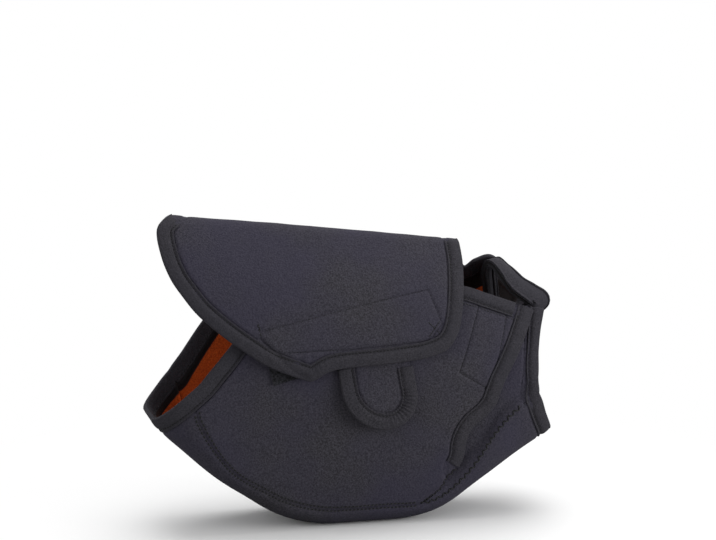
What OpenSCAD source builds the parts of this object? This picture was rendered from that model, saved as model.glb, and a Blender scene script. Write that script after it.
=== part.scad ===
// Soft cover for the motor of an e-bike: a cloth bag with two bound openings and a closing flap.
// Right (+X) is the rear of the bag, the side that closes faces -Y, and the bag rests on its gusset.

/* [Body] */
// Length from the front opening to the rear opening
body_l = 348; // [320:1:390]
// Height of the fold at the front end of the flap
body_h = 262; // [240:1:290]
// Depth through the flap and the belly
body_w = 108; // [98:1:125]
// Length of the flat spot under the belly
rest_l = 50; // [40:1:60]
// Width of the flat spot under the belly
rest_w = 40; // [34:1:46]

/* [Cloth] */
// Thickness of the laminated sheet
sheet_t = 3.5; // [3:0.1:3.8]
// Clear space between two layers of cloth
fit_gap = 0.3; // [0.25:0.05:0.4]

/* [Edge tape] */
// Width of the tape on each face
tape_w = 12; // [9:0.5:13]
// Thickness of the tape
tape_t = 1.1; // [0.8:0.1:1.2]

/* [Closures] */
// Thickness of a hook patch
hook_t = 2; // [1.5:0.1:2.2]
// Thickness of a loop patch
loop_t = 1.6; // [1.2:0.1:1.8]
// Width of the pull tab over its tape
tab_w = 64; // [50:1:70]
// Length of the pull tab below the edge of the flap
tab_l = 54; // [40:1:60]
// Thickness of the sheet in the pull tab
tab_t = 2.2; // [1.8:0.1:2.4]

/* [Rear strap] */
// Width of the sheet in the rear strap
strap_w = 20; // [16:1:24]
// Thickness of the sheet in the rear strap
strap_t = 2.6; // [2:0.1:3]

/* [Crank] */
// Diameter of the crank hole in the far side
crank_d = 40; // [30:1:46]

/* [Hidden] */

// Scale of the outlines, which are drawn for a bag of 348 x 108 x 262
kx = body_l / 348;
ky = body_w / 108;
kz = body_h / 262;

// Colours
jersey = "#38363d";
tape = "#2b2a30";
fuzz = "#1d1d20";

// Half section of the bag: a tight fold, then a long slope, then the belly
fold_r = 12;
fold_a = 48;
near_r = 185;
far_r = 160;
side_a = 88;
belly_r = 560;
crest_z = 242.7;
crest_slope = -0.114;
end_taper = 0.08;

// Depth of each layer below the flap, and of the rear side panel below the tongue
half_t = sheet_t / 2;
tape_out = half_t + fit_gap + tape_t;
near_off = tape_out + tab_t + loop_t + 3 * fit_gap + half_t;
rear_lay = 2 * tape_out + fit_gap;
slit_t = (rear_lay - sheet_t - 3 * fit_gap) / 2;

// Keel of the gusset: flat spot, round, and a straight run up to each end
keel_r = 110;
keel_left_a = 39;
keel_left_l = 85;
curl_r = 75;
curl_a = 10;
curl_end_l = 12;
keel_right_a = 31.5;
keel_right_l = 97;

// Steps of the grids
near_cols = 18;
rear_cols = 10;
strap_steps = 30;

// Small helpers
function unit(v) = v / norm(v);
function mix(a, b, t) = a + (b - a) * t;
function ease(t) = let (c = min(max(t, 0), 1)) c * c * (3 - 2 * c);
function last(list) = list[len(list) - 1];

// Point at fraction t of a smooth curve through a list of points
function track(pts, t) =
    let (n = len(pts) - 1, f = min(max(t, 0), 1) * n, i = min(floor(f), n - 1), s = f - i,
        a = pts[max(i - 1, 0)], b = pts[i], c = pts[i + 1], d = pts[min(i + 2, n)])
    0.5 * (2 * b + (c - a) * s + (2 * a - 5 * b + 4 * c - d) * s * s
        + (3 * b - a - 3 * c + d) * s * s * s);

// Keel point and direction at fraction s of its length, from the front end to the rear end
left_bits = [curl_end_l, curl_r * curl_a * PI / 180, keel_left_l, keel_r * keel_left_a * PI / 180];
left_len = left_bits[0] + left_bits[1] + left_bits[2] + left_bits[3];
right_len = keel_r * keel_right_a * PI / 180 + keel_right_l;
keel_len = left_len + rest_l / kx + right_len;
function arc_go(p, r, a0, a1) = p + r * [sin(a1) - sin(a0), cos(a0) - cos(a1)];
function run_go(p, l, a) = p + l * [cos(a), sin(a)];
function keel_right(d) =
    let (arc = keel_r * keel_right_a * PI / 180, a = min(d, arc) / keel_r * 180 / PI)
    concat(run_go(arc_go([rest_l / 2 / kx, 0], keel_r, 0, a), max(d - arc, 0), a), a);
function keel_left(d) =
    let (arc = left_bits[3], run = left_bits[2], curl = left_bits[1],
        a = min(d, arc) / keel_r * 180 / PI,
        b = a + min(max(d - arc - run, 0), curl) / curl_r * 180 / PI,
        p = arc_go([rest_l / 2 / kx, 0], keel_r, 0, a),
        q = run_go(p, min(max(d - arc, 0), run), a),
        r = arc_go(q, curl_r, a, b),
        e = run_go(r, max(d - arc - run - curl, 0), b))
    [-e[0], e[1], -b];
function keel(s) =
    let (d = s * keel_len)
    d < left_len ? keel_left(left_len - d)
        : d > left_len + rest_l / kx ? keel_right(d - left_len - rest_l / kx)
        : [d - left_len - rest_l / kx / 2, 0, 0];

// How far each side seam lies above the keel
seam_rise = [36, 21, 11, 13, 15, 15, 15, 12, 17, 33, 41];
function rise(s) = track([for (r = seam_rise) [r, 0]], s)[0];
function seam(s, up = 0) =
    let (k = keel(s), d = rise(s) + up)
    [k[0] - d * sin(k[2]), k[1] + d * cos(k[2])];
// Where the slit ends on the seam, and the step to the rear side panel behind it
seam_join = 0.655;
join_step = 0.005;

// Section of one side by the angle of its slope: depth and drop from the crest
function side_r(side) = side > 0 ? near_r : far_r;
function section(a, side) =
    let (r = side_r(side), y1 = fold_r * sin(fold_a), h1 = fold_r * (1 - cos(fold_a)),
        y2 = y1 + r * (sin(side_a) - sin(fold_a)), h2 = h1 + r * (cos(fold_a) - cos(side_a)))
    a < fold_a ? [fold_r * sin(a), fold_r * (1 - cos(a))]
        : a < side_a ? [y1 + r * (sin(a) - sin(fold_a)), h1 + r * (cos(fold_a) - cos(a))]
        : [y2 + belly_r * (sin(a) - sin(side_a)), h2 + belly_r * (cos(side_a) - cos(a))];

// Slope angle of the layer that lies off below the flap, at a drop below the crest
function slope_at(drop, off, side) =
    let (r1 = fold_r - off, r2 = side_r(side) - off, r3 = belly_r - off, d = drop - off,
        h1 = r1 * (1 - cos(fold_a)), h2 = h1 + r2 * (cos(fold_a) - cos(side_a)))
    d < h1 ? acos(min(1 - d / r1, 1))
        : d < h2 ? acos(cos(fold_a) - (d - h1) / r2)
        : acos(cos(side_a) - (d - h2) / r3);

function crest(x) = crest_z + crest_slope * x;
function taper(x) = 1 - end_taper * pow(x / 174, 2);

// Point and outward normal of the cloth: side 1 is near, side -1 is far
function on_slope(x, a, side, off) =
    let (sec = section(a, side), y = -side * sec[0] * taper(x) * ky,
        p = [x * kx, y, (crest(x) - sec[1]) * kz + half_t],
        along = [kx, side * sec[0] * 2 * end_taper * x / 174 / 174 * ky, crest_slope * kz],
        down = [0, -side * cos(a) * taper(x) * ky, -sin(a) * kz],
        n = side * unit(cross(down, along)))
    [p - off * n, n];
function cloth(p, side, off) =
    on_slope(p[0], slope_at(crest(p[0]) - p[1], off / kz, side), side, off);
function near_at(p, off = 0) = cloth(p, 1, near_off + off);
function flap_at(p, off = 0) = cloth(p, 1, off);
function far_at(p, off = 0) = cloth(p, -1, off);

// Outlines as points across the length and the height
seam_clear = fit_gap;
front_near = [seam(0, seam_clear), [-139, 137], [-127, 150], [-114, 165], [-92, 192]];
top_near = [[-92, 192], [-30, 199], [38, 201], [84, 196], [112, 187], [148, 174]];
slit_edge = [seam(seam_join, seam_clear), [61, 27], [68, 37], [77, 45], [81.5, 55], [82.5, 64],
    [85, 72], [91, 80], [101, 87], [109, 96], [113, 106], [117, 116], [123, 127], [130, 139],
    [137, 152], [143, 164], [148, 174]];
slit_start = 3 / 16;
under_edge = [seam(seam_join + join_step, seam_clear), [63, 27], [70, 37], [77, 47], [79, 58],
    [78, 70], [77, 82], [78, 94], [80, 108], [83, 127], [87, 148], [93, 168], [99, 184]];
rear_near = [seam(1, seam_clear), [150, 118], [151, 135], [154, 155], [158, 173]];
front_far = [seam(0, seam_clear), [-146, 127], [-136, 146], [-122, 167], [-103, 186]];
rear_far = [seam(1, seam_clear), [150, 122], [151, 145], [150, 165], [146, 182]];
wing_far = [[-103, 186], [-119, 200], [-134, 214], [-147, 229], [-154.5, 245],
    [-155.5, crest(-155.5)]];
shoulder_far = [[146, 182], [139, 198], [122, 204], [104, 205], [90, 214], [87, crest(87)]];
flap_left = [[-155.5, crest(-155.5)], [-160.5, 257], [-168, 245], [-165.5, 224], [-152, 201],
    [-131, 177], [-105, 154.5], [-80, 139.5], [-57, 132]];
flap_right = [[87, crest(87)], [87, 229], [86.5, 217], [84.8, 205], [82.5, 192], [79.5, 178],
    [76, 166], [71, 156.5], [64, 149]];
flap_low = [[-57, 132], [-47, 133], [-37, 137], [-22, 140.5], [0, 142.5], [24, 143], [45, 144],
    [64, 149]];
crank_hole = [89, 82];
hole_tape_w = 7;

// The same outlines by the angle of the slope, so that rows crowd at the fold
function slopes(pts, side) = [for (p = pts) [p[0], slope_at(crest(p[0]) - p[1], 0, side)]];
wing_s = slopes(wing_far, -1);
shoulder_s = slopes(shoulder_far, -1);
left_s = slopes(flap_left, 1);
right_s = slopes(flap_right, 1);
low_s = slopes(flap_low, 1);

// Patch between four outlines, at fractions u across and v up: a pull above 1 keeps the shape of
// the left outline close to it
function patch(low, high, left, right, u, v, pull = 1) = let (b = 1 - pow(1 - u, pull))
    mix(low(u), high(u), v) + mix(left(v), right(v), b)
    - mix(mix(low(0), low(1), b), mix(high(0), high(1), b), v);
function with_normal(f, u, v, hand) = let (e = 0.004)
    [f(u, v), hand * unit(cross(f(min(u + e, 1), v) - f(max(u - e, 0), v),
        f(u, min(v + e, 1)) - f(u, max(v - e, 0))))];
function quad(c, u, v) = mix(mix(c[0], c[1], u), mix(c[3], c[2], u), v);

// Faces in their order, or reversed
function turned(faces, flip) =
    flip ? [for (f = faces) [for (k = [len(f) - 1:-1:0]) f[k]]] : faces;

// Rows of a rectangular grid of [point, normal] pairs made into a closed sheet
module sheet(grid, t) {
    rows = len(grid);
    cols = len(grid[0]);
    outer = [for (row = grid) for (c = row) c[0] + c[1] * t / 2];
    inner = [for (row = grid) for (c = row) c[0] - c[1] * t / 2];
    m = rows * cols;
    ring = concat([for (i = [0:cols - 2]) i], [for (j = [0:rows - 2]) j * cols + cols - 1],
        [for (i = [cols - 1:-1:1]) (rows - 1) * cols + i], [for (j = [rows - 1:-1:1]) j * cols]);
    faces = concat(
        [for (j = [0:rows - 2]) for (i = [0:cols - 2]) let (a = j * cols + i)
            each [[a, a + cols, a + cols + 1], [a, a + cols + 1, a + 1]]],
        [for (j = [0:rows - 2]) for (i = [0:cols - 2]) let (a = m + j * cols + i)
            each [[a, a + cols + 1, a + cols], [a, a + 1, a + cols + 1]]],
        [for (k = [0:len(ring) - 1]) let (a = ring[k], b = ring[(k + 1) % len(ring)])
            each [[a, b, b + m], [a, b + m, a + m]]]);
    over = grid[1][1][0] - grid[1][0][0];
    down = grid[2][0][0] - grid[1][0][0];
    polyhedron(concat(outer, inner), turned(faces, cross(over, down) * grid[1][0][1] < 0), 4);
}

// Edge frames of a path: point and normal on the edge, then point and normal where the tape ends.
// A path entry is [point, normal, cloth function], or holds all four already.
function flat_xz(p) = [p[0] / kx, (p[2] - half_t) / kz];
function frames(path, hand, w) = let (n = len(path) - 1)
    [for (i = [0:n]) let (go = path[min(i + 1, n)][0] - path[max(i - 1, 0)][0], p = path[i],
        into = hand * unit(cross(p[1], go)),
        end = is_function(p[2]) ? p[2](flat_xz(p[0] + into * w)) : [p[2], p[3]])
        [p[0], p[1], end[0], end[1], unit(end[0] - p[0])]];

// Tape folded round the edge of a sheet of thickness t
module edge_tape(frame, t) {
    i = t / 2 + fit_gap;
    o = i + tape_t;
    e = fit_gap + tape_t;
    lip = [[0, o], [-e, o / 2], [-e, -o / 2], [0, -o]];
    slot = [[-fit_gap, -i], [-fit_gap, i]];
    pts = [for (f = frame) each concat([f[2] + f[3] * o],
        [for (r = lip) f[0] + f[4] * r[0] + f[1] * r[1]], [f[2] - f[3] * o, f[2] - f[3] * i],
        [for (r = slot) f[0] + f[4] * r[0] + f[1] * r[1]], [f[2] + f[3] * i])];
    n = 10;
    m = len(frame) - 1;
    caps = [[0, 1, 8, 9], [1, 2, 3, 4, 7, 8], [4, 5, 6, 7]];
    faces = concat(
        [for (j = [0:m - 1]) for (k = [0:n - 1]) let (a = j * n + k, b = j * n + (k + 1) % n)
            each [[a, b, b + n], [a, b + n, a + n]]],
        [for (c = caps) [for (k = [len(c) - 1:-1:0]) c[k]]],
        [for (c = caps) [for (k = c) m * n + k]]);
    go = frame[2][0] - frame[0][0];
    polyhedron(pts, turned(faces, cross(frame[1][4], frame[1][1]) * go > 0), 4);
}

// Cloth of each piece at fractions u across and v up
function near_xz(u, v) = patch(
    function(u) seam(u * seam_join, seam_clear), function(u) track(top_near, u),
    function(v) track(front_near, v), function(v) track(slit_edge, v), u, v);
function rear_xz(u, v) = patch(
    function(u) seam(mix(seam_join + join_step, 1, u), seam_clear),
    function(u) mix(last(under_edge), last(rear_near), u),
    function(v) track(under_edge, v), function(v) track(rear_near, v), u, v, 4);
function rear_point(u, v) =
    near_at(rear_xz(u, v), rear_lay * ease(v / 0.24))[0];
function rear_at(u, v) = v < 0.01 ? near_at(rear_xz(u, v))
    : with_normal(function(u, v) rear_point(u, v), u, v, 1);
function rear_edge_at(v) =
    concat(rear_at(1, v), rear_at(1 - tape_w / norm(rear_point(1, v) - rear_point(0, v)), v));
function far_xz(u, v) = patch(
    function(u) seam(u, seam_clear), function(u) mix(last(front_far), last(rear_far), u),
    function(v) track(front_far, v), function(v) track(rear_far, v), u, v);
function crest_s(u) = [mix(last(wing_s)[0], last(shoulder_s)[0], u), 0];
function wing_xs(u, v) = patch(
    function(u) mix(wing_s[0], shoulder_s[0], u), function(u) crest_s(u),
    function(v) track(wing_s, v), function(v) track(shoulder_s, v), u, v);
function flap_xs(u, v) = patch(
    function(u) crest_s(u), function(u) track(low_s, u),
    function(v) track(left_s, v), function(v) track(right_s, v), u, v);
function on_flap(p) = on_slope(p[0], p[1], 1, 0);
function on_far(p) = on_slope(p[0], p[1], -1, 0);

// Gusset at fraction s of the keel and w across, from the near seam at 0 to the far seam at 1
flat_part = 0.35;
function gusset_point(s, w) =
    let (k = keel(s), side = w < 0.5 ? 1 : -1, c = abs(2 * w - 1),
        edge = cloth(seam(s, -seam_clear), side, side > 0 ? near_off : 0)[0],
        f = max((c - flat_part) / (1 - flat_part), 0) * 90, up = 1 - cos(f),
        flat_y = rest_w / 2,
        y = min(c / flat_part, 1) * flat_y + (abs(edge[1]) - flat_y) * sin(f))
    [mix(k[0] * kx, edge[0], up), -side * y, mix(k[1] * kz + half_t, edge[2], up)];
function gusset_at(s, w) = abs(2 * w - 1) < 0.99
    ? with_normal(function(s, w) gusset_point(s, w), s, w, -1)
    : [gusset_point(s, w), cloth(seam(s), w < 0.5 ? 1 : -1, w < 0.5 ? near_off : 0)[1]];
tape_s = tape_w / keel_len;

// Marks along the seams and up the panels, shared by the pieces that meet there
function steps(n, from = 0, to = 1) = [for (i = [0:n]) mix(from, to, i / n)];
function back(list) = [for (i = [len(list) - 1:-1:0]) list[i]];
seam_marks = concat(steps(near_cols, 0, seam_join),
    [for (i = [1:rear_cols]) mix(seam_join, 1, i / rear_cols)]);
wing_marks = concat(steps(5, 0.125, 0.78), steps(3, 0.85, 1));
fold_marks = steps(2, 1 / 32, 3 / 32);
slope_marks = steps(10, 1 / 8, 1);
flap_marks = concat(fold_marks, slope_marks);
low_marks = [for (u = seam_marks) if (u > 0.07) u];

module near_panel() {
    color(jersey)
        sheet([for (v = steps(16)) [for (u = steps(near_cols)) near_at(near_xz(u, v))]], sheet_t);
}

module rear_side_panel() {
    color(jersey)
        sheet([for (v = steps(14)) [for (u = steps(rear_cols)) rear_at(u, v)]], sheet_t);
}

far_grid = concat(
    [for (v = steps(6)) [for (u = seam_marks) far_at(far_xz(u, v))]],
    [for (v = wing_marks) [for (u = seam_marks) on_far(wing_xs(u, v))]],
    [for (v = flap_marks) [for (u = seam_marks) on_flap(flap_xs(u, v))]]);

module far_panel() {
    // A resize by nothing makes one mesh of the cut sheet
    color(jersey)
        resize([0, 0, 0])
            difference() {
                sheet(far_grid, sheet_t);
                translate([crank_hole[0] * kx, 0, crank_hole[1] * kz + half_t])
                    rotate([-90, 0, 0])
                        cylinder(h = body_w, d = crank_d, $fn = 32);
            }
}

module bottom_gusset() {
    color(jersey)
        sheet([for (w = steps(12)) [for (s = seam_marks) gusset_at(s, w)]], sheet_t);
}

// Path entries on the flap, the far panel and the near panel
function flap_pt(p) = concat(on_flap(p), [function(q) flap_at(q)]);
function wing_pt(p) = concat(on_far(p), [function(q) far_at(q)]);
function far_pt(p) = concat(far_at(p), [function(q) far_at(q)]);
function near_pt(p) = concat(near_at(p), [function(q) near_at(q)]);
function front_end(w) = concat(gusset_at(0, w), gusset_at(tape_s, w));
function rear_end(w) = concat(gusset_at(1, w), gusset_at(1 - tape_s, w));

module flap_binding() {
    path = concat([for (v = concat([0.03], wing_marks)) wing_pt(track(wing_s, v))],
        [for (v = flap_marks) flap_pt(track(left_s, v))],
        [for (u = low_marks) flap_pt(track(low_s, u))],
        [for (v = back(concat(fold_marks, [for (v = slope_marks) if (v < 0.95) v])))
            flap_pt(track(right_s, v))],
        [for (v = back(concat([0.03], wing_marks))) wing_pt(track(shoulder_s, v))]);
    color(tape)
        edge_tape(frames(path, 1, tape_w), sheet_t);
}

module front_opening_binding() {
    path = concat([for (v = steps(12, 1, 0)) near_pt(track(front_near, v))],
        [for (w = steps(12)) front_end(w)],
        [for (v = steps(12, 0.03, 0.98)) far_pt(track(front_far, v))]);
    color(tape)
        edge_tape(frames(path, 1, tape_w), sheet_t);
}

module rear_opening_binding() {
    path = concat([for (v = steps(12, 1, 0)) rear_edge_at(v)],
        [for (w = steps(12)) rear_end(w)],
        [for (v = steps(10, 0.03, 0.98)) far_pt(track(rear_far, v))]);
    color(tape)
        edge_tape(frames(path, -1, tape_w), sheet_t);
}

module top_edge_binding() {
    color(tape)
        edge_tape(frames([for (u = steps(22, 0.055, 0.91)) near_pt(track(top_near, u))], -1,
            tape_w), sheet_t);
}

module crank_slit_binding() {
    color(tape)
        edge_tape(frames([for (v = steps(26, slit_start, 1)) near_pt(track(slit_edge, v))], 1,
            tape_w), sheet_t);
}

module crank_hole_binding() {
    r = crank_d / 2;
    path = [for (a = [0:15:345]) far_pt(crank_hole + [r / kx * cos(a), r / kz * sin(a)])];
    color(tape)
        edge_tape(frames(path, 1, hole_tape_w), sheet_t);
}

// Strap over the rear opening, as a middle line from the far panel to the near side
strap_line = [[121, 17, 178], [120, 15, 193], [121, 10, 205], [126, 3, 210], [133, -3, 204],
    [142, -7, 193], [152, -9, 184], [157, -9, 175], [152, -8, 165]];
strap_lie = [1, 0.45, 0.15];
strap_leg = 0.45;
function strap_point(t) = let (p = track(strap_line, t)) [p[0] * kx, p[1] * ky, p[2] * kz + half_t];
function strap_at(t, side) =
    let (go = unit(strap_point(min(t + 0.01, 1)) - strap_point(max(t - 0.01, 0))),
        across = unit(strap_lie - go * (go * strap_lie)))
    [strap_point(t) + across * side * strap_w / 2, cross(across, go)];
function strap_edge_at(t, side) = concat(strap_at(t, side), strap_at(t, side * strap_leg));

module rear_strap() {
    color(jersey)
        sheet([for (t = steps(strap_steps)) [for (u = [-1, 0, 1]) strap_at(t, u)]], strap_t);
}

module strap_front_binding() {
    color(tape)
        edge_tape(frames([for (t = steps(strap_steps)) strap_edge_at(t, -1)], 1, tape_w), strap_t);
}

module strap_rear_binding() {
    color(tape)
        edge_tape(frames([for (t = steps(strap_steps)) strap_edge_at(t, 1)], -1, tape_w), strap_t);
}

// Pull tab: a U-shaped outline whose top is sewn under the edge of the flap
tab_x = 5.5;
tab_top = 151;
tab_edge = 141;
tab_lean = 8;
tab_skew = 0.14;
tab_r = tab_w / 2 - fit_gap - tape_t;
tab_bottom = tab_edge - tab_l + fit_gap + tape_t;
tab_cy = tab_bottom + tab_r;
tab_off = tape_out + fit_gap + tab_t / 2;
function tab_arc(a) = [tab_x + tab_r * cos(a), tab_cy + tab_r * sin(a)];
function tab_xz(u, v) = patch(
    function(u) tab_arc(mix(225, 315, u)),
    function(u) [tab_x + mix(-tab_r, tab_r, u), tab_top],
    function(v) v < 0.3 ? tab_arc(mix(225, 180, v / 0.3))
        : [tab_x - tab_r, mix(tab_cy, tab_top, (v - 0.3) / 0.7)],
    function(v) v < 0.3 ? tab_arc(mix(-45, 0, v / 0.3))
        : [tab_x + tab_r, mix(tab_cy, tab_top, (v - 0.3) / 0.7)], u, v);
function tab_at(p) =
    let (held = cloth([p[0], max(p[1], tab_edge)], 1, tab_off),
        t = max(tab_edge - p[1], 0) / tab_l, swing = tab_lean * ease(t),
        lean = tab_lean * 6 * t * (1 - t) / tab_l)
    [[(p[0] + tab_skew * tab_l * t) * kx, held[0][1] - swing, p[1] * kz + half_t],
        unit(held[1] + [0, 0, lean])];
function tab_leg(q) = tab_at([q[0] - tab_skew * max(tab_edge - q[1], 0), q[1]]);
function tab_pt(p) = concat(tab_at(p), [function(q) tab_leg(q)]);

module pull_tab() {
    color(jersey)
        sheet([for (v = concat(steps(4, 0, 0.3), steps(5, 0.44, 1)))
            [for (u = steps(8)) tab_at(tab_xz(u, v))]], tab_t);
}

module pull_tab_binding() {
    drop = tab_edge - tape_out - 2;
    path = concat([for (z = steps(2, drop, tab_cy + 4)) tab_pt([tab_x - tab_r, z])],
        [for (a = [180:10:360]) tab_pt(tab_arc(a))],
        [for (z = steps(2, tab_cy + 4, drop)) tab_pt([tab_x + tab_r, z])]);
    color(tape)
        edge_tape(frames(path, 1, tape_w), tab_t);
}

// Hook and loop patches, each with its four corners
module fastener(corners, off, t, cols, rows) {
    color(fuzz)
        sheet([for (v = steps(rows)) [for (u = steps(cols)) cloth(quad(corners, u, v), 1, off)]], t);
}

module flap_hook_patch() {
    fastener([[-66, 152.5], [57, 161], [53, 193], [-90, 169]], half_t + fit_gap + hook_t / 2,
        hook_t, 10, 3);
}

module body_loop_patch() {
    fastener([[-82, 125.5], [58, 161], [50, 186], [-90, 158]],
        near_off - half_t - fit_gap - loop_t / 2, loop_t, 10, 3);
}

module slit_hook_patch() {
    fastener([[78, 124], [98, 112], [119, 167], [98, 175]],
        near_off + half_t + fit_gap + slit_t / 2, slit_t, 3, 5);
}

module slit_loop_patch() {
    fastener([[89, 126], [102, 118], [120, 166], [101, 173]],
        near_off + rear_lay - half_t - fit_gap - slit_t / 2, slit_t, 3, 5);
}

near_panel();
rear_side_panel();
far_panel();
bottom_gusset();
flap_binding();
front_opening_binding();
rear_opening_binding();
top_edge_binding();
crank_slit_binding();
crank_hole_binding();
rear_strap();
strap_front_binding();
strap_rear_binding();
pull_tab();
pull_tab_binding();
flap_hook_patch();
body_loop_patch();
slit_hook_patch();
slit_loop_patch();
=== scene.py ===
import math

import bmesh
import bpy
import numpy as np
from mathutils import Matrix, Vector, kdtree


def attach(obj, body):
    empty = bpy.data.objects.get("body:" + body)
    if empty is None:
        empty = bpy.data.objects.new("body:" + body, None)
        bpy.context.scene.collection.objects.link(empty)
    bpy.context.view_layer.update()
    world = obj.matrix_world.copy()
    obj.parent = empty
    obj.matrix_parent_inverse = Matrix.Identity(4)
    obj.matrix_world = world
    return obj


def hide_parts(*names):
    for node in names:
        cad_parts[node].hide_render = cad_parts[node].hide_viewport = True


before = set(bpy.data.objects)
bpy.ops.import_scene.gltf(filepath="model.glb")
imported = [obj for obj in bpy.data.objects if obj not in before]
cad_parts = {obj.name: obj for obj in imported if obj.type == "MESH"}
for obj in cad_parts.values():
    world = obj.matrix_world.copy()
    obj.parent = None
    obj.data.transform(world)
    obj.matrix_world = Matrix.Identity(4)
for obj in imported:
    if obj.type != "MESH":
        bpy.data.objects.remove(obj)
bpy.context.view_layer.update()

# Far panel and flap: one piece of foam laminate, folded over at the top. The far side of the bag
# is below the fold and the closing flap is in front of it. Knit jersey outside, orange knit inside.
# All lengths are in mm and become metres in the meshes. Every layer follows one section of the bag: a
# tight fold, a round slope and an almost flat belly, told apart by the angle of the slope.
HALF = 1.75
FOLD_R, FOLD_A = 12.0, math.radians(48)
NEAR_R, FAR_R, SIDE_A, BELLY_R = 185.0, 160.0, math.radians(88), 560.0
CREST_Z, CREST_SLOPE = 242.7, -0.114
END_TAPER, END_X = 0.08, 174
NEAR_OFF = 9.6


def unit(v):
    return v / np.maximum(np.linalg.norm(v, axis=-1, keepdims=True), 1e-9)


def mix(a, b, t):
    return a + (b - a) * t


def ease(t):
    c = np.clip(t, 0, 1)
    return c * c * (3 - 2 * c)


def track(points, t):
    """Points at fractions t of a smooth curve through a list of points."""
    p = np.array(points, float)
    n = len(p) - 1
    f = np.clip(np.asarray(t, float), 0, 1) * n
    i = np.minimum(np.floor(f), n - 1).astype(int)
    s = (f - i)[..., None]
    a, b, c, d = p[np.maximum(i - 1, 0)], p[i], p[i + 1], p[np.minimum(i + 2, n)]
    return 0.5 * (2 * b + (c - a) * s + (2 * a - 5 * b + 4 * c - d) * s**2 + (3 * b - a - 3 * c + d) * s**3)


def crest(x):
    return CREST_Z + CREST_SLOPE * np.asarray(x, float)


def side_r(side):
    return np.where(np.asarray(side) > 0, NEAR_R, FAR_R)


def slope_at(drop, off, side):
    """Slope angle of the layer that lies off below the flap, at a drop below the crest."""
    r1, r2, r3, d = FOLD_R - off, side_r(side) - off, BELLY_R - off, drop - off
    fold_c, side_c = math.cos(FOLD_A), math.cos(SIDE_A)
    h1 = r1 * (1 - fold_c)
    h2 = h1 + r2 * (fold_c - side_c)
    on_fold = 1 - d / np.where(np.abs(r1) < 1e-6, 1e-6, r1)
    below = np.where(d < h2, fold_c - (d - h1) / r2, side_c - (d - h2) / r3)
    return np.arccos(np.clip(np.where(d < h1, on_fold, below), -1, 1))


def on_slope(x, a, side, off):
    """Point and outward normal of the cloth at a length x and slope angle a."""
    x, a, side = np.broadcast_arrays(np.asarray(x, float), np.asarray(a, float), np.asarray(side, float))
    r, fold_s, fold_c = side_r(side), math.sin(FOLD_A), math.cos(FOLD_A)
    side_s, side_c = math.sin(SIDE_A), math.cos(SIDE_A)
    y1, h1 = FOLD_R * fold_s, FOLD_R * (1 - fold_c)
    y2, h2 = y1 + r * (side_s - fold_s), h1 + r * (fold_c - side_c)
    y = np.where(a < SIDE_A, y1 + r * (np.sin(a) - fold_s), y2 + BELLY_R * (np.sin(a) - side_s))
    y = np.where(a < FOLD_A, FOLD_R * np.sin(a), y)
    h = np.where(a < SIDE_A, h1 + r * (fold_c - np.cos(a)), h2 + BELLY_R * (side_c - np.cos(a)))
    h = np.where(a < FOLD_A, FOLD_R * (1 - np.cos(a)), h)
    taper = 1 - END_TAPER * (x / END_X) ** 2
    p = np.stack([x, -side * y * taper, crest(x) - h + HALF], -1)
    widen = side * y * 2 * END_TAPER * x / END_X**2
    along = np.stack([np.ones_like(x), widen, np.full_like(x, CREST_SLOPE)], -1)
    down = np.stack([np.zeros_like(x), -side * np.cos(a) * taper, -np.sin(a)], -1)
    n = side[..., None] * unit(np.cross(down, along))
    return p - np.asarray(off, float)[..., None] * n, n


def arc_len(a, side):
    """Length of cloth from the crest down to a slope angle."""
    r = side_r(side)
    return np.where(a < FOLD_A, FOLD_R * a, FOLD_R * FOLD_A + np.where(
        a < SIDE_A, r * (a - FOLD_A), r * (SIDE_A - FOLD_A) + BELLY_R * (a - SIDE_A)))


def arc_angle(s, side):
    """Slope angle at a length of cloth from the crest."""
    r, s1 = side_r(side), FOLD_R * FOLD_A
    s2 = s1 + r * (SIDE_A - FOLD_A)
    below = np.where(s < s2, FOLD_A + (s - s1) / r, SIDE_A + (s - s2) / BELLY_R)
    return np.where(s < s1, s / FOLD_R, below)


def cloth(xz, side, off=0.0):
    """Point and normal at a length and height, for a layer that lies off below the flap."""
    return on_slope(xz[..., 0], slope_at(crest(xz[..., 0]) - xz[..., 1], off, side), side, off)


def near_at(xz, off=0.0):
    return cloth(xz, 1, NEAR_OFF + off)


def flap_at(xz, off=0.0):
    return cloth(xz, 1, off)


def far_at(xz, off=0.0):
    return cloth(xz, -1, off)


# The keel of the bag: a flat spot, a round and a straight run up to each end, with a curl in front
REST_L, KEEL_R = 50, 110
LEFT_A, LEFT_L, CURL_R, CURL_A, CURL_L = math.radians(39), 85, 75, math.radians(10), 12
RIGHT_A, RIGHT_L = math.radians(31.5), 97
LEFT_LEN = CURL_L + CURL_R * CURL_A + LEFT_L + KEEL_R * LEFT_A
KEEL_LEN = LEFT_LEN + REST_L + KEEL_R * RIGHT_A + RIGHT_L
# Height of the side seams over the keel, from the front end to the rear end
SEAM_RISE = [36, 21, 11, 13, 15, 15, 15, 12, 17, 33, 41]


def arc_go(p, r, a0, a1):
    return (p[0] + r * (math.sin(a1) - math.sin(a0)), p[1] + r * (math.cos(a0) - math.cos(a1)))


def run_go(p, l, a):
    return (p[0] + l * math.cos(a), p[1] + l * math.sin(a))


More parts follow.
